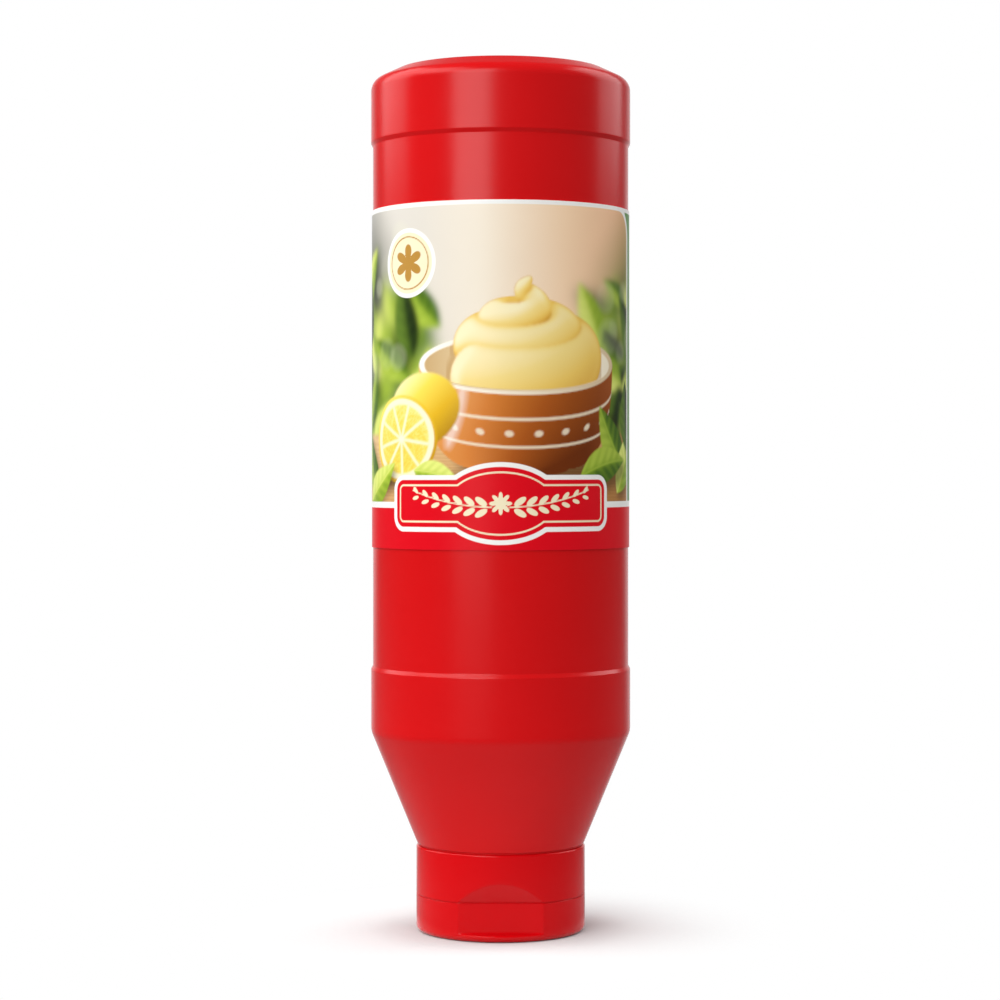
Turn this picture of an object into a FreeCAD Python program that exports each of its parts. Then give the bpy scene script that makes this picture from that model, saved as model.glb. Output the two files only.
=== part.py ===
import FreeCAD, Part
import math
import os

# A one-litre squeeze bottle of mayonnaise that stands upside down on its flip-top cap.
# Lengths are in millimetres. The origin is the centre of the lid's flat face, +Z runs
# up to the bottle's closed base, and the thumb recess of the cap faces -Y.

os.makedirs("parts", exist_ok=True)

# The whole
overall_height = 265.0
bottle_diameter = 80.0
cap_diameter = 52.1

# Closed base of the bottle, uppermost here: an outer rounding, a shallow slope to the
# ring that a bottle stands on the other way up, and a dished middle
base_rounding = 4.0
base_slope_drop = 3.8
base_ring_outer_radius = 32.0
base_ring_width = 2.5
base_dish_slope_width = 5.0
base_dish_depth = 3.0
base_ring_rounding = 1.0

# Body of the bottle: a band at each end and a label panel sunk between them
upper_band_height = 23.0
lower_band_height = 19.5
panel_depth = 0.6
band_edge_rounding = 0.4

# Cone, the low collar that it stands on the cap with, and the neck
cone_height = 34.6
cone_top_rounding = 6.0
cone_edge_setback = 0.3
cone_edge_rounding = 0.3
collar_height = 0.55
collar_setback = 0.8

# Wrap label, with its two ends lapped at the back
label_thickness = 0.3
label_glue_gap = 0.05
label_margin_above = 20.6
label_margin_below = 37.1
label_lap_thickness = 0.15
label_lap_width = 9.0

# Cap: the skirt that holds the neck, above, and the lid that hinges on it, below
cap_height = 26.35
lid_height = 11.35
seam_gap = 0.4
seam_depth = 0.8
cap_top_rounding = 0.6
lid_edge_rounding = 1.8
seam_edge_rounding = 0.2
socket_wall = 2.75
socket_floor_cover = 0.4
neck_clearance = 0.15

# Thumb recess: a flat on the lid above a lip, and a scoop that runs out up the skirt
thumb_recess_depth = 3.4
thumb_lip_height = 2.3
thumb_scoop_height = 6.0

# Film hinge at the back: a wide web and a narrow strap on each side of it
hinge_web_width = 12.0
hinge_strap_width = 3.0
hinge_strap_spacing = 21.0
hinge_clearance = 0.05

# Worked out from the sizes above
bottle_radius = bottle_diameter / 2
cap_radius = cap_diameter / 2
panel_radius = bottle_radius - panel_depth

upper_step_z = overall_height - upper_band_height
cone_bottom_z = cap_height + collar_height
cone_top_z = cone_bottom_z + cone_height
lower_step_z = cone_top_z + lower_band_height

skirt_bottom_z = lid_height + seam_gap
scoop_top_z = skirt_bottom_z + thumb_scoop_height
socket_floor_z = scoop_top_z + socket_floor_cover
socket_radius = cap_radius - socket_wall
neck_radius = socket_radius - neck_clearance
thumb_flat_y = thumb_recess_depth - cap_radius


def unit(vector):
    """The vector's direction, with length 1."""
    return vector * (1 / vector.Length)


def turned(corners):
    """A solid turned about Z. Each corner is (radius, height, rounding); the first and
    the last lie on the axis, and a rounding becomes an arc that is tangent on both sides."""
    points = [FreeCAD.Vector(radius, 0, height) for radius, height, _ in corners]
    edges = []
    pen = points[0]
    for before, corner, after, (_, _, rounding) in zip(points, points[1:], points[2:], corners[1:]):
        arriving = unit(corner - before)
        leaving = unit(after - corner)
        turn = arriving.getAngle(leaving)
        if rounding > 0 and turn > 1e-6:
            tangent = rounding * math.tan(turn / 2)
            start = corner - arriving * tangent
            end = corner + leaving * tangent
            to_centre = unit(leaving - arriving)
            centre = corner + to_centre * (rounding / math.cos(turn / 2))
            middle = centre - to_centre * rounding
            edges.append(Part.makeLine(pen, start))
            edges.append(Part.Arc(start, middle, end).toShape())
            pen = end
        else:
            edges.append(Part.makeLine(pen, corner))
            pen = corner
    edges.append(Part.makeLine(pen, points[-1]))
    edges.append(Part.makeLine(points[-1], points[0]))
    outline = Part.Face(Part.Wire(edges))
    return outline.revolve(FreeCAD.Vector(0, 0, 0), FreeCAD.Vector(0, 0, 1), 360)


def ring(inner_radius, outer_radius, bottom_z, top_z):
    """A plain ring about Z."""
    height = top_z - bottom_z
    foot = FreeCAD.Vector(0, 0, bottom_z)
    return Part.makeCylinder(outer_radius, height, foot).cut(Part.makeCylinder(inner_radius, height, foot))


def ahead_of(plane_y, bottom_z, top_z):
    """A block that takes in all of the cap in front of a plane across Y."""
    corner = FreeCAD.Vector(-cap_radius, -2 * cap_radius, bottom_z)
    return Part.makeBox(2 * cap_radius, plane_y + 2 * cap_radius, top_z - bottom_z, corner)


def make_bottle():
    """The blow-moulded bottle with its filling, closed and solid."""
    ring_inner_radius = base_ring_outer_radius - base_ring_width
    dish_floor_radius = ring_inner_radius - base_dish_slope_width
    return turned([
        (0, overall_height - base_dish_depth, 0),
        (dish_floor_radius, overall_height - base_dish_depth, base_ring_rounding),
        (ring_inner_radius, overall_height, base_ring_rounding),
        (base_ring_outer_radius, overall_height, base_ring_rounding),
        (bottle_radius, overall_height - base_slope_drop, base_rounding),
        (bottle_radius, upper_step_z, band_edge_rounding),
        (panel_radius, upper_step_z, 0),
        (panel_radius, lower_step_z, 0),
        (bottle_radius, lower_step_z, band_edge_rounding),
        (bottle_radius, cone_top_z, cone_top_rounding),
        (cap_radius - cone_edge_setback, cone_bottom_z, cone_edge_rounding),
        (cap_radius - collar_setback, cone_bottom_z, 0),
        (cap_radius - collar_setback, cap_height, 0),
        (neck_radius, cap_height, 0),
        (neck_radius, socket_floor_z, 0),
        (0, socket_floor_z, 0),
    ])


def make_label():
    """The printed film around the panel, with a second thickness where its ends lap."""
    bottom_z = lower_step_z + label_margin_below
    top_z = upper_step_z - label_margin_above
    inner_radius = panel_radius + label_glue_gap
    outer_radius = inner_radius + label_thickness
    sleeve = ring(inner_radius, outer_radius, bottom_z, top_z)
    lap = ring(outer_radius - label_thickness / 2, outer_radius + label_lap_thickness, bottom_z, top_z)
    strip_corner = FreeCAD.Vector(-label_lap_width / 2, 0, bottom_z)
    strip = Part.makeBox(label_lap_width, bottle_diameter, top_z - bottom_z, strip_corner)
    return sleeve.fuse(lap.common(strip)).removeSplitter()


def make_skirt():
    """The fixed half of the closure: a plain socket for the neck and the thumb scoop."""
    skirt = turned([
        (0, socket_floor_z, 0),
        (socket_radius, socket_floor_z, 0),
        (socket_radius, cap_height, 0),
        (cap_radius, cap_height, cap_top_rounding),
        (cap_radius, skirt_bottom_z, seam_edge_rounding),
        (0, skirt_bottom_z, 0),
    ])
    run_out = FreeCAD.Vector(0, -thumb_recess_depth, thumb_scoop_height)
    on_seam = FreeCAD.Vector(-cap_radius, thumb_flat_y, skirt_bottom_z)
    wedge = Part.makePolygon([
        on_seam - run_out,
        on_seam + run_out * 2,
        on_seam - run_out - FreeCAD.Vector(0, 4 * thumb_recess_depth, 0),
        on_seam - run_out,
    ])
    scoop = Part.Face(wedge).extrude(FreeCAD.Vector(2 * cap_radius, 0, 0))
    return skirt.cut(scoop).fuse(make_hinge()).removeSplitter()


def make_hinge():
    """The webs that bridge the seam at the back, moulded in one with the skirt."""
    seam = ring(cap_radius - seam_depth + hinge_clearance, cap_radius, lid_height, skirt_bottom_z)
    webs = []
    for centre_x, width in (
        (-hinge_strap_spacing / 2, hinge_strap_width),
        (0, hinge_web_width),
        (hinge_strap_spacing / 2, hinge_strap_width),
    ):
        corner = FreeCAD.Vector(centre_x - width / 2, 0, lid_height)
        webs.append(seam.common(Part.makeBox(width, cap_radius, seam_gap, corner)))
    return Part.makeCompound(webs)


def make_lid():
    """The hinged half: flat to stand on, with the thumb flat above a lip at the front."""
    lid = turned([
        (0, lid_height, 0),
        (cap_radius, lid_height, seam_edge_rounding),
        (cap_radius, 0, lid_edge_rounding),
        (0, 0, 0),
    ])
    lid = lid.cut(ahead_of(thumb_flat_y, thumb_lip_height, lid_height))
    land = Part.makeCylinder(cap_radius - seam_depth, seam_gap, FreeCAD.Vector(0, 0, lid_height))
    land = land.cut(ahead_of(thumb_flat_y + seam_depth, lid_height, skirt_bottom_z))
    return lid.fuse(land).removeSplitter()


pieces = {
    "bottle": make_bottle(),
    "label": make_label(),
    "cap_skirt": make_skirt(),
    "cap_lid": make_lid(),
}

for name, piece in pieces.items():
    solid = piece.Solids[0]
    print(name, "solids:", len(piece.Solids), "valid:", piece.isValid(), "volume:", round(solid.Volume))
    solid.exportStep(f"parts/{name}.step")
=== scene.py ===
import math

import bpy
import numpy as np
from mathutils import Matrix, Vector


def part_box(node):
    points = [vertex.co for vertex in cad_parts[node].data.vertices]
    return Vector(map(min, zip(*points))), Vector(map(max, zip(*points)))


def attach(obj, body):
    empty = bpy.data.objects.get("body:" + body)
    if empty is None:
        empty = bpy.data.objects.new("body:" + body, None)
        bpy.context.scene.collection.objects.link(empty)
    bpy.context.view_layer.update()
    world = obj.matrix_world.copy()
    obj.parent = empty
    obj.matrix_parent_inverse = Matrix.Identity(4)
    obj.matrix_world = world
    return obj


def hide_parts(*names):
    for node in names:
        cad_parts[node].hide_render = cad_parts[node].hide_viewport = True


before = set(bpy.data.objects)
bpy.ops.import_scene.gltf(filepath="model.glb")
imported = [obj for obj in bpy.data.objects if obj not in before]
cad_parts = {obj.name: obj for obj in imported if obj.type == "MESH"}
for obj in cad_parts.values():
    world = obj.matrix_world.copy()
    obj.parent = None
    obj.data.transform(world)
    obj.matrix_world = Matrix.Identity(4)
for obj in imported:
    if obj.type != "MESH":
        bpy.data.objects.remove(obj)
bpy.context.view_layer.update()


# ---- Bottle ---------------------------------------------------------------------------
# A one-litre squeeze bottle of high-density polyethylene, dyed red and blow-moulded. The
# two mould halves leave a fine parting line down each side, and the pinched parison
# leaves a scar across the dished base. It stands upside down on its cap.

MM = 0.001


def corner_mm(node, which):
    """The lowest (0) or highest (1) corner of a CAD node's box, in millimetres."""
    return np.array(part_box(node)[which]) / MM


bottle_radius = corner_mm("bottle", 1)[0]
bottle_top = corner_mm("bottle", 1)[2]
neck_end = corner_mm("bottle", 0)[2]
cap_radius = corner_mm("cap_lid", 1)[0]
cap_top = corner_mm("cap_skirt", 1)[2]

upper_band_height = 23.0
lower_band_height = 19.5
panel_depth = 0.6
cone_height = 34.6
collar_height = 0.55
collar_setback = 0.8
neck_setback = 2.9
base_ring_outer = 32.0
base_ring_inner = 29.5
base_dish_radius = 24.5
base_dish_depth = 3.0
base_slope_drop = 3.8

upper_step = bottle_top - upper_band_height
cone_bottom = cap_top + collar_height
cone_top = cone_bottom + cone_height
lower_step = cone_top + lower_band_height
collar_radius = cap_radius - collar_setback
neck_radius = cap_radius - neck_setback

# Each band slopes into the panel over this height, as a blown wall can't turn sharply.
step_height = 1.2
step_rounding = 0.6


def outline(corners, steps=2.0, arc_step=7.5, hold=0.12):
    """Points along straight runs whose corners are replaced by tangent arcs. Each corner is
    (radius, height, rounding) in mm. An arc has a point every arc_step degrees. A run has one
    about every step mm, and one hold mm from each end, which keeps its shading flat."""
    corners = np.array(corners, float)
    stops = [corners[0, :2]]
    arcs = []
    for before, corner, after in zip(corners, corners[1:], corners[2:]):
        arriving = (corner - before)[:2] / np.hypot(*(corner - before)[:2])
        leaving = (after - corner)[:2] / np.hypot(*(after - corner)[:2])
        turn = math.acos(np.clip(arriving @ leaving, -1, 1))
        tangent = corner[2] * math.tan(turn / 2)
        start = corner[:2] - arriving * tangent
        side = np.sign(arriving[0] * leaving[1] - arriving[1] * leaving[0])
        inward = side * np.array([-arriving[1], arriving[0]])
        share = np.linspace(0, turn, math.ceil(math.degrees(turn) / arc_step) + 2)[:, None]
        arcs.append(start + corner[2] * (np.sin(share) * arriving + (1 - np.cos(share)) * inward))
        stops += [start, corner[:2] + leaving * tangent]
    stops.append(corners[-1, :2])
    arcs.append(stops[-1:])
    points = []
    for start, end, step, arc in zip(stops[0::2], stops[1::2], np.broadcast_to(steps, len(arcs)), arcs):
        length = np.hypot(*(end - start))
        near = min(hold, length / 4)
        middle = np.linspace(near, length - near, max(2, math.ceil(length / step)))
        along = np.concatenate([[0], middle, [length]])[:, None]
        points += [start + (end - start) * along / length, arc]
    points = np.concatenate(points)
    apart = np.hypot(*np.diff(points, axis=0).T) > 1e-6
    return points[np.concatenate([[True], apart])]


def around(angle, radius, height):
    """Places at an angle from the front (-Y) towards +X, a radius from Z and a height."""
    return np.stack(np.broadcast_arrays(radius * np.sin(angle), -radius * np.cos(angle), height), -1)


def skin(name, places, unwrapped=None):
    """A closed mesh object over a grid of places in mm, shape (rows, columns, 3). Its rows run
    down the outside, the last column joins the first, and the first and last rows are each
    one point. unwrapped is a UV place for each row and column, with the first column again
    after the last."""
    rows, columns, _ = places.shape
    corner = np.arange(rows * (columns + 1)).reshape(rows, columns + 1)
    quads = np.stack([corner[:-1, :-1], corner[1:, :-1], corner[1:, 1:], corner[:-1, 1:]], -1)
    fans = np.concatenate([quads[0][:, [0, 1, 2]], quads[-1][:, [0, 1, 3]]])
    quads = quads[1:-1].reshape(-1, 4)
    vertex = np.arange(1 - columns, 1 + (rows - 1) * columns).reshape(rows, columns)
    vertex[0] = 0
    vertex[-1] = 1 + (rows - 2) * columns
    vertex = np.concatenate([vertex, vertex[:, :1]], 1).ravel()
    points = np.concatenate([places[0, :1], places[1:-1].reshape(-1, 3), places[-1, :1]]) * MM
    mesh = bpy.data.meshes.new(name)
    mesh.from_pydata(points.tolist(), [], vertex[quads].tolist() + vertex[fans].tolist())
    mesh.shade_smooth()
    if unwrapped is not None:
        corners = np.concatenate([quads.ravel(), fans.ravel()])
        mesh.uv_layers.new(name="OFBake").data.foreach_set("uv", unwrapped.reshape(-1, 2)[corners].ravel())
    piece = bpy.data.objects.new(name, mesh)
    bpy.context.scene.collection.objects.link(piece)
    return piece


def linear(hex_colour):
    """An sRGB hex colour as linear red, green and blue: the sRGB curve undone."""
    value = np.array([int(hex_colour[i:i + 2], 16) for i in (1, 3, 5)]) / 255
    return np.where(value <= 0.04045, value / 12.92, ((value + 0.055) / 1.055) ** 2.4)


def add(tree, kind, inputs=None, **settings):
    """A new node with its settings; each input is a value, or the socket that feeds it."""
    node = tree.nodes.new(kind)
    for key, value in settings.items():
        setattr(node, key, value)
    for key, value in (inputs or {}).items():
        if isinstance(value, bpy.types.NodeSocket):
            tree.links.new(value, node.inputs[key])
        else:
            node.inputs[key].default_value = value
    return node


def moulded_plastic(name, colour, shade, gloss, rough, grain_mm, relief_mm):
    """A dyed plastic as it leaves the mould. The dye drifts between colour and shade over
    some centimetres, and the roughness between the two rough values. The grain of the mould
    is a bump relief_mm high whose bumps are grain_mm apart. What is finer than that scatters
    part of the reflection, so gloss, the specular level, is below a bare face's 0.5."""
    material = bpy.data.materials.new(name)
    material.use_nodes = True
    tree = material.node_tree
    plastic = tree.nodes["Principled BSDF"]
    plastic.inputs["IOR"].default_value = 1.5
    plastic.inputs["Specular IOR Level"].default_value = gloss
    place = add(tree, "ShaderNodeTexCoord").outputs["Object"]
    drift = add(tree, "ShaderNodeTexNoise", {"Vector": place, "Scale": 1 / (28 * MM), "Detail": 2.0})
    dye = add(tree, "ShaderNodeMix", {
        "Factor": drift.outputs["Fac"],
        6: (*linear(colour), 1),
        7: (*linear(shade), 1),
    }, data_type="RGBA")
    tree.links.new(dye.outputs[2], plastic.inputs["Base Color"])
    patches = add(tree, "ShaderNodeTexNoise", {"Vector": place, "Scale": 1 / (9 * MM), "Detail": 3.0})
    finish = add(tree, "ShaderNodeMapRange", {
        "Value": patches.outputs["Fac"],
        "To Min": rough[0],
        "To Max": rough[1],
    })
    tree.links.new(finish.outputs["Result"], plastic.inputs["Roughness"])
    grain = add(tree, "ShaderNodeTexNoise", {"Vector": place, "Scale": 1 / (grain_mm * MM), "Detail": 2.0})
    bump = add(tree, "ShaderNodeBump", {"Height": grain.outputs["Fac"], "Distance": relief_mm * MM})
    tree.links.new(bump.outputs["Normal"], plastic.inputs["Normal"])
    return material


bottle_line = outline([
    (0, bottle_top - base_dish_depth, 0),
    (base_dish_radius, bottle_top - base_dish_depth, 1.5),
    (base_ring_inner, bottle_top, 1.0),
    (base_ring_outer, bottle_top, 1.0),
    (bottle_radius, bottle_top - base_slope_drop, 4.0),
    (bottle_radius, upper_step + step_height / 2, step_rounding),
    (bottle_radius - panel_depth, upper_step - step_height / 2, step_rounding),
    (bottle_radius - panel_depth, lower_step + step_height / 2, step_rounding),
    (bottle_radius, lower_step - step_height / 2, step_rounding),
    (bottle_radius, cone_top, 6.0),
    (cap_radius - 0.3, cone_bottom, 0.3),
    (collar_radius, cone_bottom, 0),
    (collar_radius, cap_top, 0),
    (neck_radius, cap_top, 0),
    (neck_radius, neck_end, 0),
    (0, neck_end, 0),
])

# Columns every 1.4 degrees, and closer where the parting line runs.
beside_line = np.array([-0.8, -0.5, -0.3, -0.15, 0, 0.15, 0.3, 0.5, 0.8])
bottle_angles = np.radians(np.unique(np.concatenate([
    np.arange(0, 360, 360 / 256), 90 + beside_line, 270 + beside_line])))

# The parting line is a ridge where the halves met: a bell curve of the distance from their
# plane. Across the dish of the base it is the wider and higher pinch-off scar.
line_rise = 0.06
line_breadth = 0.18
scar_rise = 0.35
scar_breadth = 0.45
scar_end = 19.5
radius, height = bottle_line.T[:, :, None]
off_plane = radius * np.cos(bottle_angles)
parting_line = line_rise * np.exp(-(off_plane / line_breadth) ** 2) * (height > cone_bottom)
pinch_scar = scar_rise * np.exp(-(off_plane / scar_breadth) ** 2) * (height > upper_step)
pinch_scar = pinch_scar / (1 + np.exp((radius - scar_end) / 0.3))
relief = np.maximum(parting_line, pinch_scar)
tangent = np.gradient(bottle_line, axis=0)
out_r, out_z = (tangent[:, ::-1] * (-1, 1) / np.hypot(*tangent.T)[:, None]).T[:, :, None]
bottle = skin("bottle_body", around(bottle_angles, radius + out_r * relief, height + out_z * relief))

# Polyethylene has a waxy satin face, so its highlights are broad and soft.
bottle.data.materials.append(
    moulded_plastic("red_polyethylene_blow_moulded", "#D2070C", "#CB060A", 0.27, (0.22, 0.27), 0.5, 0.004))
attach(bottle, "root")
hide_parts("bottle")


# ---- Label ----------------------------------------------------------------------------
# A wrap of white polypropylene film, printed with a picture under five flat inks and then
# varnished. It is glued round the sunk panel, and its ends lap at the back. The picture is
# of cream in an earthenware bowl, and the plate and the seal carry only ornament.

film_radius = corner_mm("label", 1)[0]
film_bottom = corner_mm("label", 0)[2]
film_height = corner_mm("label", 1)[2] - film_bottom
film_thickness = 0.3
lap_width = 9.0
lap_rise = 0.15

# The print is laid out flat. u runs round the film from the middle of the front, towards
# +X, and v up from its lower edge, both in mm. Every shape is worked out at the points of
# this grid, from one side of the lap to the other. It is as fine as a coarse screen's dots.
print_columns = 624
print_rows = 259
cell_u = 2 * math.pi * film_radius / print_columns
cell_v = film_height / print_rows
film_angles = np.linspace(-math.pi, math.pi, print_columns + 1)
film_heights = np.linspace(0, film_height, print_rows + 1)
u, v = np.meshgrid(film_angles * film_radius, film_heights, indexing="ij")

# The film was wound a little askew: its print climbs by askew mm in the turn, up to the end
# that is on top, and steps back where that end is cut.
askew = 0.5
turns = u / (2 * math.pi * film_radius)
turns[u < lap_width / 2 - math.pi * film_radius] += 1
v -= askew * turns


def oval(centre, half_u, half_v, turn=0.0):
    """How far inside an ellipse, turned by degrees, each place lies, in mm: k (1 - k) over the
    slope of k, where k is 0 at the centre and 1 on the ellipse."""
    c, s = math.cos(math.radians(turn)), math.sin(math.radians(turn))
    x = (u - centre[0]) * c + (v - centre[1]) * s
    y = (v - centre[1]) * c - (u - centre[0]) * s
    k = np.hypot(x / half_u, y / half_v)
    return k * (1 - k) / np.maximum(np.hypot(x / half_u ** 2, y / half_v ** 2), 1e-6)


def tablet(centre, half_u, half_v, corner):
    """How far inside a rectangle with rounded corners each place lies, in mm."""
    x = abs(u - centre[0]) - half_u + corner
    y = abs(v - centre[1]) - half_v + corner
    return corner - np.hypot(np.maximum(x, 0), np.maximum(y, 0)) - np.minimum(np.maximum(x, y), 0)


def ramp(value, *stops):
    """A colour at each place from a value there: (value, hex) stops, blended in linear light."""
    shades = np.array([linear(shade) for _, shade in stops])
    return np.stack([np.interp(value, [at for at, _ in stops], channel) for channel in shades.T], -1)


def blurred(field, sigma):
    """A field over the print convolved with a bell curve of sigma mm: its Fourier transform
    times the curve's own, with the field mirrored at its edges first."""
    whole = np.concatenate([field, field[::-1]])
    whole = np.concatenate([whole, whole[:, ::-1]], 1)
    round_it = np.fft.fftfreq(whole.shape[0], cell_u)[:, None]
    up_it = np.fft.rfftfreq(whole.shape[1], cell_v)
    curve = np.exp(-2 * (math.pi * sigma) ** 2 * (round_it ** 2 + up_it ** 2))
    curve = curve.reshape(curve.shape + (1,) * (field.ndim - 2))
    whole = np.fft.irfft2(np.fft.rfft2(whole, axes=(0, 1)) * curve, s=whole.shape[:2], axes=(0, 1))
    return whole[:field.shape[0], :field.shape[1]]


def lay(colour, inside, edge=0.45, strength=1.0):
    """Covers the picture with a colour where inside is positive, over an edge so many mm wide."""
    share = strength * np.clip(inside / edge + 0.5, 0, 1)[..., None]
    picture[:] = picture + (colour - picture) * share


def leaf(centre, length, width, turn, shades, bend):
    """A pointed leaf about a bent midrib: its half width falls from the middle as 1 - t * t,
    and faster towards the tip. One side is lit, and side veins run out from the midrib."""
    c, s = math.cos(math.radians(turn)), math.sin(math.radians(turn))
    t = ((u - centre[0]) * c + (v - centre[1]) * s) / (length / 2)
    aside = (v - centre[1]) * c - (u - centre[0]) * s - bend * (1 - t ** 2)
    half = width / 2 * (1 - t ** 2) * (1 - 0.35 * t)
    inside = np.where(abs(t) < 1, (half - abs(aside)) / math.hypot(1, 2 * width / length), -length)
    veins = np.cos(2 * math.pi * (t * length / 2 - 0.8 * abs(aside)) / (0.16 * length))
    lit = 0.5 + 0.35 * np.tanh(10 * aside / width) + 0.3 * aside / width
    lit = lit + 0.10 * veins * np.clip(abs(aside), 0, 1) + 0.3 * np.exp(-(aside / (0.035 * width)) ** 2)
    lay(ramp(lit, *zip((0.0, 0.5, 1.0), shades)), inside)


# Behind everything, a pale wall that turns peach to the right. Its tone is set darker at the left and paler
# to the right of the middle, a painted counter-shade that evens out the studio's light, which falls off to
# the right. Foliage stands at both sides in two layers, each out of focus. Sunlight through the leaves makes
# a few pale discs.
picture = ramp(u, (-60, "#CECAC2"), (-25, "#DCD6CB"), (-5, "#F0E5D2"), (20, "#F9D7B2"), (60, "#F2AE7C"))
picture *= 1 - 0.12 * np.clip((70 - v) / 70, 0, 1)[..., None]
lay(linear("#26330E"), oval((-68, 50), 34, 50), 26)
lay(linear("#5A781E"), oval((68, 50), 34, 50), 26)
dark_green = ("#18280A", "#324A10", "#5E7C24")
mid_green = ("#446618", "#7B9C26", "#ACC244")
light_green = ("#88A62A", "#BCD048", "#E2EA7E")
rng = np.random.default_rng(12)
for focus, count in ((2.0, 60), (0.8, 44)):
    for number in range(count):
        leaf_u = (-1) ** (number + 1) * rng.uniform(26, 72) + 2
        leaf_v = rng.uniform(24, 88) - 0.30 * (70 - abs(leaf_u))
        shades = (dark_green, mid_green, light_green)[rng.choice(3, p=(0.35, 0.4, 0.25))]
        length = rng.uniform(16, 26)
        width = length * rng.uniform(0.36, 0.5)
        leaf((leaf_u, leaf_v), length, width, rng.uniform(20, 160), shades, rng.uniform(-2, 2))
    picture = blurred(picture, focus)
for number in range(16):
    size = rng.uniform(2.5, 5.5)
    centre = ((-1) ** number * rng.uniform(34, 62), rng.uniform(54, 100))
    lay(linear("#F3F6CE"), oval(centre, size, size), 2.0, rng.uniform(0.06, 0.2))

# A beech board, with grain that closes up towards its far edge.
board_edge = 34.5
rings = v / (0.9 + 0.03 * (board_edge - v))
grain = np.sin(2 * math.pi * (rings + 0.35 * np.sin(u / 17) + 0.2 * np.sin(u / 6.1)))
lit = 0.5 + 0.06 * grain + 0.25 * np.clip((v - 14) / 20, 0, 1) - 0.004 * u
lay(ramp(lit, (0.0, "#8C5526"), (0.5, "#C08A4E"), (1.0, "#E8C590")), board_edge - v, 1.6)

# The bowl. Below its rim the wall narrows to the foot as part of a rounded power curve, and
# it is lit from the left. Two lines and a row of dots run round it, parallel to the rim.
bowl_u, rim_v, foot_v = 7.0, 55.0, 24.0
rim_half_u, rim_half_v, foot_half = 33.0, 9.2, 14.0
lay(linear("#4A2A12"), oval((bowl_u + 8, foot_v + 0.5), 27, 4.5), 5.0, 0.75)
down = np.clip((rim_v - v) / (rim_v - foot_v), 0, 1)
bowl_half = foot_half + (rim_half_u - foot_half) * np.sqrt(1 - down ** 2.2)
side = np.clip((u - bowl_u) / bowl_half, -1, 1)
foot_curve = 2.2 * np.sqrt(np.clip(1 - ((u - bowl_u) / foot_half) ** 2, 0, 1))
body = np.minimum(bowl_half - abs(u - bowl_u), np.minimum(rim_v - v, v - foot_v + foot_curve))
lit = 0.62 - 0.42 * np.sin(side * 1.35 + 0.25) - 0.30 * down ** 1.6 + 0.4 * np.clip(side - 0.8, 0, 1)
lay(ramp(lit, (0.0, "#6E300A"), (0.35, "#AA561A"), (0.65, "#D27C2E"), (1.0, "#F0AE64")), body)
below_rim = rim_v - v - rim_half_v * bowl_half / rim_half_u * np.sqrt(1 - side ** 2)
dots = 1.1 - np.hypot((np.degrees(np.arcsin(side)) % 18 - 9) / 18 * 7.5, below_rim - 12.8)
for line in (0.5 - abs(below_rim - 8.0), 0.5 - abs(below_rim - 17.5), dots):
    lay(linear("#F2E3C6"), np.minimum(line, body), 0.6, 0.85)
lay(linear("#FFFFFF"), np.minimum(oval((bowl_u - 20.5, rim_v - 15.5), 2.0, 9.5, -16), body), 2.4, 0.42)
rim = oval((bowl_u, rim_v), rim_half_u, rim_half_v)
well = oval((bowl_u, rim_v - 0.1), rim_half_u - 1.9, rim_half_v - 1.3)
lay(ramp(u - bowl_u, (-33, "#FFFBEF"), (0, "#F6EAD2"), (33, "#D9BF98")), rim)
lay(ramp(u - bowl_u, (-30, "#C9A877"), (-10, "#E9D3A6"), (27, "#FBF0D6")), well)

# The cream is a rope piped in a shrinking helix up to a curled tip, seen from 17 degrees
# above. It is made of balls along its path; x is across, y up and z towards the eye.
along = np.linspace(0, 1, 460)
tilt = math.radians(17)
turned = 2 * math.pi * 2.85 * along + math.radians(230)
coil = 19.0 * (1 - along) ** 0.85
thick = 9.8 * (1 - along) ** 0.5 + 0.3
rise = 1.5 + 20 * along ** 1.15 + 6 * along ** 8
path_x = bowl_u + 1.2 * np.sin(5 * along) + 3.0 * along ** 9 + coil * np.cos(turned)
path_y = rim_v - 1 + rise * math.cos(tilt) + coil * np.sin(turned) * math.sin(tilt)
path_z = rise * math.sin(tilt) - coil * np.sin(turned) * math.cos(tilt)
inside = np.full(u.shape, -99.0)
depth = np.full(u.shape, -8.0)
normal = np.zeros(u.shape + (3,))
for x, y, z, ball in zip(path_x, path_y, path_z, thick):
    column, row = int((x - u[0, 0]) / cell_u), int(y / cell_v)
    spread = int(ball / cell_v) + 2
    round_ball = np.s_[column - spread:column + spread, row - spread:row + spread]
    off_x, off_y = u[round_ball] - x, v[round_ball] - y
    off = np.hypot(off_x, off_y)
    front = z + np.sqrt(np.clip(ball ** 2 - off ** 2, 0, None))
    nearer = (off < ball) & (front > depth[round_ball])
    inside[round_ball] = np.maximum(inside[round_ball], ball - off)
    depth[round_ball][nearer] = front[nearer]
    normal[round_ball][nearer] = (np.stack([off_x, off_y, front - z], -1) / ball)[nearer]

# It is lit from the upper left, and darker where it lies deeper than what is round it.
ground = np.where(inside > 0, depth, blurred(depth, 3.0))
lit = 0.50 + 0.52 * (normal @ (-0.50, 0.62, 0.60)) - 0.10 * np.clip(blurred(ground, 1.6) - ground, -2, 3)
cream = ramp(
    lit, (0.0, "#BE7F22"), (0.35, "#E2AC44"), (0.65, "#F1CB66"), (0.9, "#F6DC8A"), (1.1, "#FDF0C2"))
lay(linear("#B98A48"), np.minimum(inside + 1.6, well), 1.5, 0.5)
lay(blurred(cream, 0.35), np.where(v < rim_v, np.minimum(inside, well - 0.3), inside))

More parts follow.
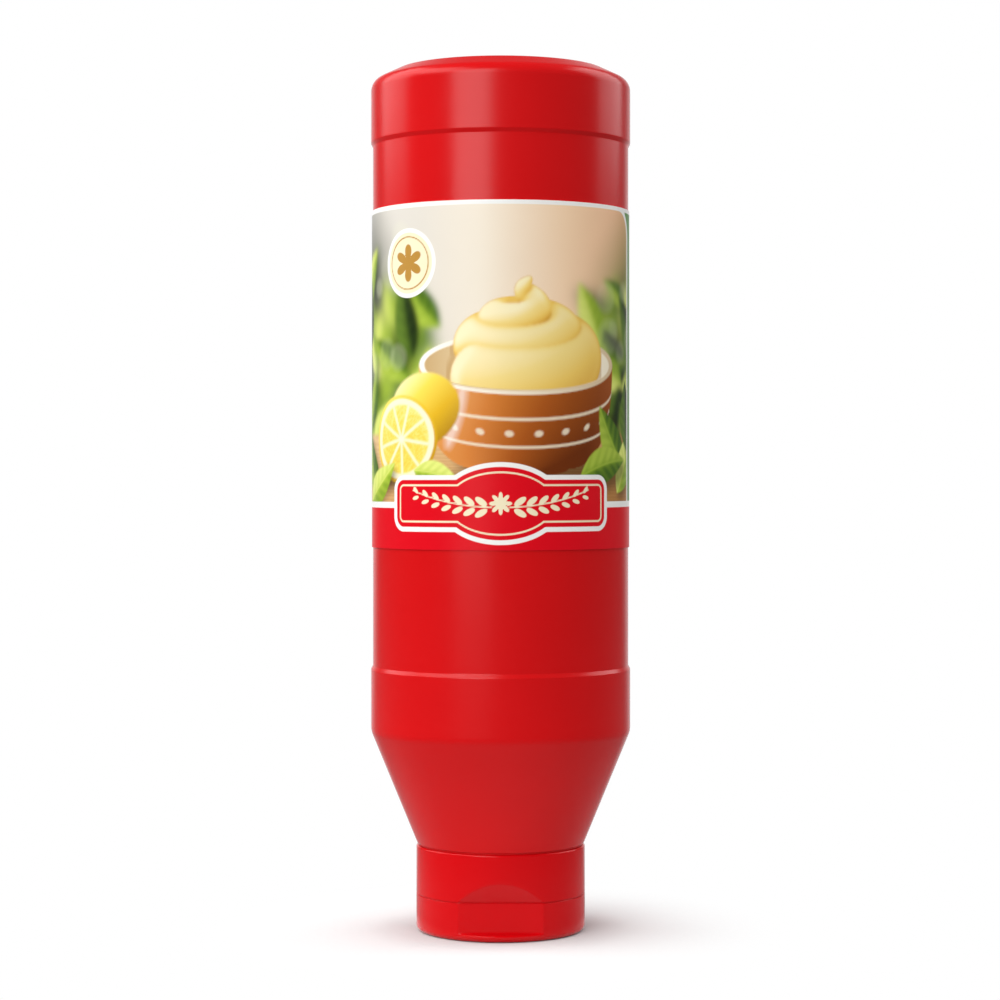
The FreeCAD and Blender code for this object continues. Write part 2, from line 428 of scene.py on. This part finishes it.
# A whole lemon behind a half one, whose cut face has a rind, pith and nine segments.
lemon_u, lemon_v = -33.5, 33.0
lay(linear("#4A2A12"), oval((lemon_u + 5, lemon_v - 12.5), 16, 3.0), 4.5, 0.7)
lit = 0.6 - 0.03 * (u - lemon_u - 8) + 0.035 * (v - lemon_v - 8.5)
peel = ramp(lit, (0.0, "#A97A10"), (0.4, "#E2B321"), (0.8, "#F8DC55"), (1.1, "#FFF3A8"))
lay(peel, oval((lemon_u + 8, lemon_v + 8.5), 13.5, 11, 18), 0.9)
cut_face = oval((lemon_u, lemon_v), 14.0, 13.2)
lay(ramp(v - lemon_v - u + lemon_u, (-18, "#C79312"), (0, "#EDC22C"), (18, "#FBE36A")), cut_face)
lay(linear("#FBF4CF"), cut_face - 1.1, 0.5)
off_core = np.hypot(u - lemon_u, 1.06 * (v - lemon_v))
bearing = np.degrees(np.arctan2(v - lemon_v, u - lemon_u))
off_middle = (bearing + 8) % 40 - 20
segment = math.radians(20) * off_core - np.radians(abs(off_middle)) * off_core - 0.45
segment = np.minimum(segment, np.minimum(11.0 - off_core, off_core - 1.4))
sacs = np.sin(0.9 * off_middle + 2.0 * np.sin(0.66 * off_core + bearing))
sacs = sacs * np.sin(2.2 * off_core + 0.2 * bearing)
lit = 0.35 + 0.16 * sacs + 0.022 * off_core + 0.012 * (v - lemon_v)
lay(ramp(lit, (0.0, "#E3B62A"), (0.5, "#F4D95C"), (1.0, "#FBF1A6")), segment, 0.8)

# Leaves in focus on the board, each with a soft shadow under it.
for centre, length, width, turn, shades, bend in (
    ((41, 33), 25, 11.0, 128, mid_green, 1.5),
    ((49, 27), 24, 11.0, 60, light_green, -1.0),
    ((37, 24), 24, 10.5, 12, mid_green, 1.5),
    ((51, 40), 22, 9.5, 96, dark_green, 1.0),
    ((-53, 25), 26, 11.0, 118, mid_green, 1.5),
    ((-47, 20), 24, 10.0, 30, light_green, -1.0),
    ((-20, 21.5), 17, 7.5, -14, light_green, 1.0),
):
    under = (centre[0] + 1.2, centre[1] - 2.0)
    lay(linear("#33240C"), oval(under, 0.46 * length, 0.42 * width, turn), 3.5, 0.6)
    leaf(centre, length, width, turn, shades, bend)


def sprig(centre, leaves, pitch, lift):
    """Two branches of paired leaves that rise from the centre by the square of the distance."""
    x = abs(u - centre[0])
    end = leaves * pitch
    stem = 0.22 - abs(v - centre[1] - lift * (x / end) ** 2)
    shape = np.minimum(stem, np.minimum(x - 2.5, end + 3.5 - x))
    for number in range(1, leaves + 1):
        size = 1 - 0.45 * number / leaves
        slope = math.degrees(math.atan(2 * lift * number * pitch / end ** 2))
        for side in (-1, 1):
            for up in (-1, 1):
                leaf_u = centre[0] + side * (number * pitch + 2.2)
                leaf_v = centre[1] + lift * (number / leaves) ** 2 + up * (0.3 + 1.5 * size)
                blade = oval((leaf_u, leaf_v), 2.2 * size, size, side * (slope + 32 * up))
                shape = np.maximum(shape, blade)
    return shape


def rosette(centre, radius, petals):
    """A flower whose outline swings in and out with the cosine of the bearing."""
    x, y = u - centre[0], v - centre[1]
    swing = abs(np.cos(petals / 2 * np.arctan2(x, y))) ** 0.7
    return 0.6 * (radius * (0.25 + 0.75 * swing) - np.hypot(x, y))


# The flat inks, in the order of printing, as the distance inside each ink's shapes in mm. A
# red band with a white line over it runs round the foot. The picture ends in a white line,
# and beyond that is a green ground with two cream panels. Each has a rosette, a sprig and a
# ruled table that is left empty.
band_top = 12.4
picture_area = tablet((-7, film_height - 61.3), 59, 60, 8)
plate = np.maximum(tablet((0, 13.8), 37, 8.4, 4.5), oval((0, 13.8), 19, 12.2))
seal_centre = (-30.5, 85.5)
seal = oval(seal_centre, 10.4, 10.4)
panels = np.maximum(tablet((89, 58), 26, 36, 5), tablet((-96, 58), 19, 36, 5))
table_foot = 27.0
table_head = 52.0
row_pitch = (table_head - table_foot) / 6
table = np.minimum(panels - 5, table_head - v)
off_row = abs((v - table_foot + row_pitch / 2) % row_pitch - row_pitch / 2)
off_column = np.minimum(abs(u - 101), abs(u + 89))
rules = np.maximum(0.25 - abs(table), np.minimum(0.2 - np.minimum(off_row, off_column), table))
cut_end = 0.5 - abs(u + math.pi * film_radius - lap_width / 2)
inks = {
    "green_ink": ("#4F8A32", (-picture_area - 1.5,)),
    "white_ink": ("#F4F3EF", (
        0.75 - abs(picture_area + 0.75),
        v - film_height + 1.3,
        band_top + 1.8 - v,
        plate,
        seal,
        panels + 1.2,
        cut_end,
    )),
    "red_ink": ("#DC0318", (
        np.minimum(band_top - v, -plate),
        plate - 1.4,
        0.25 - abs(panels - 1.6),
    )),
    "cream_ink": ("#F4E8C4", (
        0.28 - abs(plate - 3.0),
        sprig((0, 12.6), 7, 3.6, 4.0),
        rosette((0, 13.8), 3.4, 8),
        seal - 1.3,
        panels - 3.0,
    )),
    "gold_ink": ("#B98A3C", (
        0.22 - abs(seal - 2.6),
        rosette(seal_centre, 5.6, 6),
        rules,
        rosette((89, 79), 5.0, 6),
        rosette((-96, 79), 5.0, 6),
        sprig((89, 62), 5, 3.4, 4.0),
        sprig((-96, 62), 3, 3.4, 2.5),
    )),
}

# The film is a closed shell in two halves that meet at the sides. The end on top stands
# proud of the lap by its thickness, cut off square on one side and draped over the other.
drape_width = 1.5
past_cut = lap_width / 2 - math.pi * film_radius - film_angles * film_radius
past_drape = film_angles * film_radius - math.pi * film_radius + lap_width / 2
past_drape = np.clip(past_drape / drape_width, 0, 1)
lap = lap_rise * np.maximum(past_cut > 0, past_drape ** 2 * (3 - 2 * past_drape))


def film_half(name, columns):
    """A half of the film from its columns of the print. The loop of its cross-section, up the
    outside and down the inside, is carried round the bottle, and fans close its cut ends."""
    height = film_bottom + np.concatenate([film_heights, [film_height, 0]])
    radius = np.full((len(columns), len(height)), film_radius - film_thickness)
    radius[:, :-2] = film_radius + lap[columns][:, None]
    angles = film_angles[columns]
    ends = around(angles[[0, -1]], film_radius - film_thickness / 2, film_bottom + film_height / 2)
    ends = np.broadcast_to(ends[:, None], (2, len(height), 3))
    places = np.concatenate([ends[:1], around(angles[:, None], radius, height), ends[1:]])

    # The outside fills nearly all of the UV map, right way up.
    share_u = np.concatenate([[0], np.linspace(0.003, 0.997, len(columns)), [1]])
    share_v = np.concatenate([np.linspace(0, 0.97, print_rows + 1), [0.98, 0.99, 1.0]])
    unwrapped = np.stack(np.meshgrid(share_u, share_v, indexing="ij"), -1)
    unwrapped[[0, -1], :, 1] = 0.5
    piece = skin(name, places, unwrapped)
    piece.data.set_sharp_from_angle(angle=math.radians(40))

    # The inside and the ends are bare white film.
    for ink, (_, shapes) in inks.items():
        inside = np.full(places.shape[:2], -1.0)
        inside[1:-1, :-2] = np.maximum.reduce(shapes)[columns]
        layer = piece.data.attributes.new(ink, "FLOAT", "POINT")
        layer.data.foreach_set("value", np.concatenate([[-1.0], inside[1:-1].ravel(), [-1.0]]))
    colour = np.ones(places.shape)
    colour[1:-1, :-2] = picture[columns]
    layer = piece.data.attributes.new("picture_ink", "FLOAT_VECTOR", "POINT")
    layer.data.foreach_set("vector", np.concatenate([colour[0, 0], colour[1:-1].ravel(), colour[0, 0]]))
    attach(piece, "root")
    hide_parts("label")
    return piece


quarter = print_columns // 4
label_front = film_half("label_front", np.arange(quarter, 3 * quarter + 1))
label_back = film_half("label_back", np.arange(3 * quarter, 5 * quarter + 1) % print_columns)

# Inks laid on one another in the order of printing, under a satin varnish that keeps the
# film's slight ripple. The ink's density drifts by a few percent over some centimetres.
varnished = bpy.data.materials.new("polypropylene_film_printed_and_varnished")
varnished.use_nodes = True
tree = varnished.node_tree
film = tree.nodes["Principled BSDF"]
film.inputs["IOR"].default_value = 1.5
film.inputs["Specular IOR Level"].default_value = 0.15
print_so_far = add(tree, "ShaderNodeAttribute", attribute_name="picture_ink").outputs["Vector"]
for ink, (colour, _) in inks.items():
    inside = add(tree, "ShaderNodeAttribute", attribute_name=ink).outputs["Fac"]
    covered = add(tree, "ShaderNodeMapRange", {"Value": inside, "From Min": -0.15, "From Max": 0.15},
                  interpolation_type="SMOOTHSTEP").outputs["Result"]
    print_so_far = add(tree, "ShaderNodeMix", {"Factor": covered, 6: print_so_far, 7: (*linear(colour), 1)},
                       data_type="RGBA").outputs[2]
place = add(tree, "ShaderNodeTexCoord").outputs["Object"]
drift = add(tree, "ShaderNodeTexNoise", {"Vector": place, "Scale": 1 / (25 * MM), "Detail": 2.0})
density = add(tree, "ShaderNodeMapRange", {"Value": drift.outputs["Fac"], "To Min": 0.97, "To Max": 1.03})
printed = add(tree, "ShaderNodeHueSaturation", {"Color": print_so_far, "Value": density.outputs["Result"]})
tree.links.new(printed.outputs["Color"], film.inputs["Base Color"])
satin = add(tree, "ShaderNodeMapRange", {"Value": drift.outputs["Fac"], "To Min": 0.30, "To Max": 0.38})
tree.links.new(satin.outputs["Result"], film.inputs["Roughness"])
ripple = add(tree, "ShaderNodeTexNoise", {"Vector": place, "Scale": 1 / (7 * MM), "Detail": 1.0})
bump = add(tree, "ShaderNodeBump", {"Height": ripple.outputs["Fac"], "Distance": 0.02 * MM})
tree.links.new(bump.outputs["Normal"], film.inputs["Normal"])
label_front.data.materials.append(varnished)
label_back.data.materials.append(varnished)


# ---- Cap skirt ------------------------------------------------------------------------
# The fixed half of a flip-top closure, injection-moulded in red polypropylene. It grips
# the neck, and the scoop at the front lets a thumb reach the edge of the lid below it.

seam_top = corner_mm("cap_lid", 1)[2]
socket_radius = neck_radius + 0.15
recess_depth = 3.4
scoop_height = 6.0

# Columns are closest over the recess, whose edges cross them, and next at the hinge.
cap_angles = np.radians(np.concatenate([
    np.arange(-36, 36, 0.25),
    np.arange(36, 154, 1.5),
    np.arange(154, 206, 0.4),
    np.arange(206, 324, 1.5),
]))


def cap_wall(flat_distance, crease=0.1):
    """The radius of the cap's wall at each of cap_angles, cut by a plane across the front at
    flat_distance from the axis: the lesser of the two, rounded over about crease mm where
    they meet."""
    ahead = np.cos(cap_angles)
    flat = np.where(ahead > 0.7, flat_distance / np.maximum(ahead, 0.7), 2 * cap_radius)
    return -crease * np.logaddexp(-cap_radius / crease, -flat / crease)


skirt_line = outline([
    (0, neck_end, 0),
    (socket_radius, neck_end, 0),
    (socket_radius, cap_top, 0.3),
    (cap_radius, cap_top, 0.6),
    (cap_radius, seam_top + scoop_height, 0),
    (cap_radius, seam_top, 0.1),
    (0, seam_top, 0),
], steps=(4.0, 2.0, 1.0, 1.0, 0.1, 4.0))
radius, height = skirt_line.T[:, :, None]
run_out = (height - seam_top) / scoop_height
skirt_wall = cap_wall(cap_radius - recess_depth * (1 - run_out))
skirt = skin("cap_skirt_body", around(cap_angles, radius * skirt_wall / cap_radius, height))

# Polypropylene from a polished mould is smoother than the bottle, so its highlights are
# tighter.
cap_plastic = moulded_plastic(
    "red_polypropylene_injection_moulded", "#CC040C", "#C5030A", 0.20, (0.13, 0.17), 0.8, 0.002)
skirt.data.materials.append(cap_plastic)
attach(skirt, "root")
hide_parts("cap_skirt")


# ---- Cap lid --------------------------------------------------------------------------
# The flip-top lid, shut, moulded in one with the skirt and joined to it by a film hinge at
# the back: a wide web with a strap on each side. The front is cut to a flat above a lip.

lid_rim = corner_mm("cap_skirt", 0)[2]
land_setback = 0.3
land_radius = cap_radius - land_setback
lid_edge_rounding = 1.8
lip_height = 2.3
lip_slope = 0.35
gate_radius = 2.2
gate_depth = 0.35

# The profile runs from the land, which shows as the floor of the seam, down the wall and in
# under the lid to the dimple that the gate of the mould leaves in the middle.
lid_line = outline([
    (0, seam_top, 0),
    (land_radius, seam_top, 0),
    (land_radius, lid_rim, 0),
    (cap_radius, lid_rim, 0.1),
    (cap_radius, lip_height + lip_slope, 0),
    (cap_radius, lid_edge_rounding, 0),
    (cap_radius, 0, lid_edge_rounding),
    (gate_radius, 0, 0.2),
    (gate_radius - 0.6, gate_depth, 0.2),
    (0, gate_depth, 0),
], steps=(4.0, 0.3, 0.3, 0.3, 0.05, 0.5, 3.0, 0.3, 0.5))
radius, height = lid_line.T[:, :, None]

# The flat ends in a ledge: the cut fades out over a steep S-curve about the lip's height.
cut = 1 / (1 + np.exp((lip_height - height) / (lip_slope / 4)))
lid_wall = cap_radius - (cap_radius - cap_wall(cap_radius - recess_depth)) * cut

# Where a web crosses the seam, the land stands out nearly to the wall.
across = cap_radius * np.sin(cap_angles)
at_back = np.cos(cap_angles) < 0
web = np.zeros_like(across)
for centre, width in ((-10.5, 3.0), (0.0, 12.0), (10.5, 3.0)):
    web = np.maximum(web, at_back / (1 + np.exp((abs(across - centre) - width / 2) / 0.08)))
web = 0.98 * web * (height >= lid_rim)
land = np.where(radius <= land_radius, radius / land_radius * (cap_radius - land_radius), cap_radius - radius)
places = around(cap_angles, (radius + land * web) * lid_wall / cap_radius, height)
lid = skin("cap_lid_body", places)
lid.data.materials.append(cap_plastic)
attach(lid, "root")
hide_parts("cap_lid")


# ---- Studio ---------------------------------------------------------------------------
# Not part of the object: a white paper floor and wall, a big soft box left of the camera
# with a smaller one higher up, a tall one at each side, a little behind the bottle, that
# draws a soft strip down its edge, and a lamp overhead for the shadow on the floor.

camera_distance = 0.804
camera_height = 0.1409


def soft_box(name, angle, distance, height, width, tall, watts):
    """A rectangular lamp at an angle from the front towards +X, facing the bottle's middle."""
    lamp = bpy.data.lights.new(name, "AREA")
    lamp.shape = "RECTANGLE"
    lamp.size = width
    lamp.size_y = tall
    lamp.energy = watts
    box = bpy.data.objects.new(name, lamp)
    turn = math.radians(angle)
    box.location = (distance * math.sin(turn), -distance * math.cos(turn), height)
    box.rotation_euler = (math.atan2(distance, height - bottle_top / 2 * MM), 0, turn)
    bpy.context.scene.collection.objects.link(box)


soft_box("key_box", -25, 1.1, 0.62, 0.70, 1.00, 9.5)
soft_box("top_left_box", -65, 0.8, 0.95, 0.60, 0.60, 3.6)
soft_box("left_edge_box", -109, 0.9, 0.76, 0.74, 0.92, 5.6)
soft_box("right_edge_box", 114, 0.9, 0.76, 0.74, 0.92, 5.6)

camera_data = bpy.data.cameras.new("camera")
camera_data.lens = 93.55
camera_data.sensor_width = 36.0
camera_data.shift_x = -0.00065
camera_data.shift_y = -0.027
camera = bpy.data.objects.new("camera", camera_data)
camera.location = (0, -camera_distance, camera_height)
camera.rotation_euler = (math.radians(90), 0, 0)
bpy.context.scene.collection.objects.link(camera)
bpy.context.scene.camera = camera

floor_half = 6.0
floor_corners = np.array([(-1, -1, 0), (1, -1, 0), (1, 1, 0), (-1, 1, 0)]) * floor_half
floor_mesh = bpy.data.meshes.new("floor")
floor_mesh.from_pydata(floor_corners.tolist(), [], [(0, 1, 2, 3)])
floor = bpy.data.objects.new("floor", floor_mesh)
bpy.context.scene.collection.objects.link(floor)

# A broad lamp high overhead, a little towards the big soft box, lights the floor alone,
# where the bottle shades it.
overhead_data = bpy.data.lights.new("overhead_lamp", "SUN")
overhead_data.angle = math.radians(35)
overhead_data.energy = 2.5
overhead = bpy.data.objects.new("overhead_lamp", overhead_data)
overhead.rotation_euler = (math.radians(3.5), 0, math.radians(-25))
bpy.context.scene.collection.objects.link(overhead)
floor_only = bpy.data.collections.new("floor_only")
floor_only.objects.link(floor)
overhead.light_linking.receiver_collection = floor_only

# Pale paper. Close to the bottle the eye sees plain paper in the studio's light, which keeps
# the shadow, and farther out an even white. Reflections see that white behind the bottle
# alone. Elsewhere they, and the light that the paper throws back, see it darken away from
# the bottle, as in a studio whose floor is lit only in the middle.
paper = bpy.data.materials.new("white_paper_floor")
paper.use_nodes = True
tree = paper.node_tree
tree.nodes.clear()
place = add(tree, "ShaderNodeTexCoord").outputs["Object"]
distance = add(tree, "ShaderNodeVectorMath", {0: place}, operation="LENGTH").outputs["Value"]
direction = add(tree, "ShaderNodeVectorMath", {0: place}, operation="NORMALIZE").outputs["Vector"]
far = add(tree, "ShaderNodeMapRange", {
    "Value": distance,
    "From Min": 0.035,
    "From Max": 0.09,
}, interpolation_type="SMOOTHSTEP").outputs["Result"]
behind = add(tree, "ShaderNodeMapRange", {
    "Value": add(tree, "ShaderNodeSeparateXYZ", {0: direction}).outputs["Y"],
    "From Min": 0.78,
    "From Max": 1.0,
}, interpolation_type="SMOOTHSTEP").outputs["Result"]
ray = add(tree, "ShaderNodeLightPath").outputs
mirrored = add(tree, "ShaderNodeMath", {
    0: ray["Is Glossy Ray"],
    1: ray["Is Transmission Ray"],
}, operation="MAXIMUM").outputs[0]
mirrored_behind = add(tree, "ShaderNodeMath", {0: mirrored, 1: behind}, operation="MULTIPLY").outputs[0]
seen = add(tree, "ShaderNodeMath", {0: ray["Is Camera Ray"], 1: mirrored_behind}, operation="MAXIMUM")
share = add(tree, "ShaderNodeMath", {0: seen.outputs[0], 1: far}, operation="MULTIPLY").outputs[0]

# How pale the plain paper is. Reflections see it pale beside the cap, a painted pool of light that the cap's
# foot mirrors as a lighter band. It throws light back as a mid grey does, and both darken farther out, a
# painted fall-off of light. To the eye it is one pale grey, which the lamp overhead brings up to white.
painted_pool_beside_cap = add(tree, "ShaderNodeMapRange", {
    "Value": distance,
    "From Min": 0.028,
    "From Max": 0.046,
    "To Min": 0.75,
    "To Max": 0.26,
}, interpolation_type="SMOOTHSTEP").outputs["Result"]
near_tone = add(tree, "ShaderNodeMix", {0: ray["Is Glossy Ray"], 2: 0.46, 3: painted_pool_beside_cap}).outputs[0]
tone = add(tree, "ShaderNodeMapRange", {
    "Value": distance,
    "From Min": 0.04,
    "From Max": 0.22,
    "To Min": near_tone,
    "To Max": 0.12,
}, interpolation_type="SMOOTHSTEP").outputs["Result"]
tone = add(tree, "ShaderNodeMix", {0: ray["Is Camera Ray"], 2: tone, 3: 0.55}).outputs[0]
sheet = add(tree, "ShaderNodeBsdfDiffuse", {"Color": tone}).outputs[0]
white = add(tree, "ShaderNodeEmission", {"Color": (1, 1, 1, 1), "Strength": 1.0}).outputs[0]
look = add(tree, "ShaderNodeMixShader", {0: share, 1: sheet, 2: white}).outputs[0]
add(tree, "ShaderNodeOutputMaterial", {"Surface": look})
floor_mesh.materials.append(paper)

# The wall is white to the eye. Reflections see it fade from white behind the bottle to a
# darker studio at the sides and in front. The fill light is even all round.
world = bpy.data.worlds.new("studio_surround")
world.use_nodes = True
bpy.context.scene.world = world
tree = world.node_tree
tree.nodes.clear()
direction = add(tree, "ShaderNodeTexCoord").outputs["Generated"]
wall = add(tree, "ShaderNodeMapRange", {
    "Value": add(tree, "ShaderNodeSeparateXYZ", {0: direction}).outputs["Y"],
    "From Min": 0.78,
    "From Max": 1.0,
    "To Min": 0.12,
    "To Max": 1.0,
}, interpolation_type="SMOOTHSTEP").outputs["Result"]
ray = add(tree, "ShaderNodeLightPath").outputs
mirrored = add(tree, "ShaderNodeMath", {
    0: ray["Is Glossy Ray"],
    1: ray["Is Transmission Ray"],
}, operation="MAXIMUM").outputs[0]
level = add(tree, "ShaderNodeMix", {0: mirrored, 2: 0.50, 3: wall}).outputs[0]
level = add(tree, "ShaderNodeMix", {0: ray["Is Camera Ray"], 2: level, 3: 1.0}).outputs[0]
light = add(tree, "ShaderNodeBackground", {"Color": (1, 1, 1, 1), "Strength": level}).outputs[0]
add(tree, "ShaderNodeOutputWorld", {"Surface": light})

bpy.context.scene.view_settings.view_transform = "Standard"
